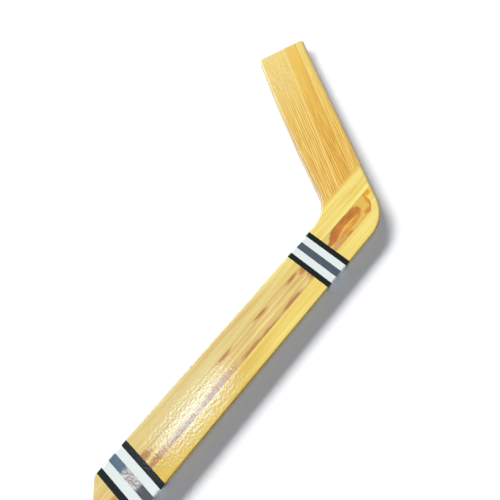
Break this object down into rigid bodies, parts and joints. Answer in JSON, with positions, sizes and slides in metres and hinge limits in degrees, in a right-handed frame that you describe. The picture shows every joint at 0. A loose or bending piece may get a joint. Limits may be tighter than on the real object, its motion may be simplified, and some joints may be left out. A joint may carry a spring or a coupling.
{
  "type": "ice hockey goalie stick",
  "caption": "Laminated wooden ice hockey goalie stick: long shaft, wide flat paddle and angled blade for stopping and playing the puck, with striped film bands round the paddle.",
  "frame": {"origin": "on the back face, on the centreline of the shaft, at the shoulder where the paddle starts and the blocker hand holds the stick", "axes": "+X along the shaft from the butt towards the heel, +Y across the stick towards the toe of the blade, +Z out of the front face; the stick lies on its back face"},
  "size_m": [1.5656, 0.3783, 0.022],
  "materials": {
    "shaft_wood": "clear gloss lacquer over pale hardwood with brown heartwood streaks",
    "slat_wood": "clear gloss lacquer over yellow aspen",
    "core_wood": "pale core wood between dark glue lines",
    "blade_wood": "clear gloss lacquer and thin glass cloth over golden straight-grained wood",
    "black_film": "satin black stripe film",
    "white_film": "satin white stripe film",
    "silver_film": "crinkled silver foil film"
  },
  "bodies": {
    "root": {"shaft_front_ply": "shaft_wood", "shaft_core_ply": "core_wood", "shaft_back_ply": "shaft_wood", "toe_slat_front_ply": "slat_wood", "toe_slat_core_ply": "core_wood", "toe_slat_back_ply": "slat_wood", "back_slat_front_ply": "slat_wood", "back_slat_core_ply": "core_wood", "back_slat_back_ply": "slat_wood", "heel_block": "slat_wood", "blade_top_board": "blade_wood", "blade_middle_board": "blade_wood", "blade_sole_board": "blade_wood", "shoulder_band_black_1": "black_film", "shoulder_band_white_1": "white_film", "shoulder_band_silver": "silver_film", "shoulder_band_white_2": "white_film", "shoulder_band_black_2": "black_film", "heel_band_black_1": "black_film", "heel_band_white_1": "white_film", "heel_band_silver": "silver_film", "heel_band_white_2": "white_film", "heel_band_black_2": "black_film"}
  },
  "joints": []
}
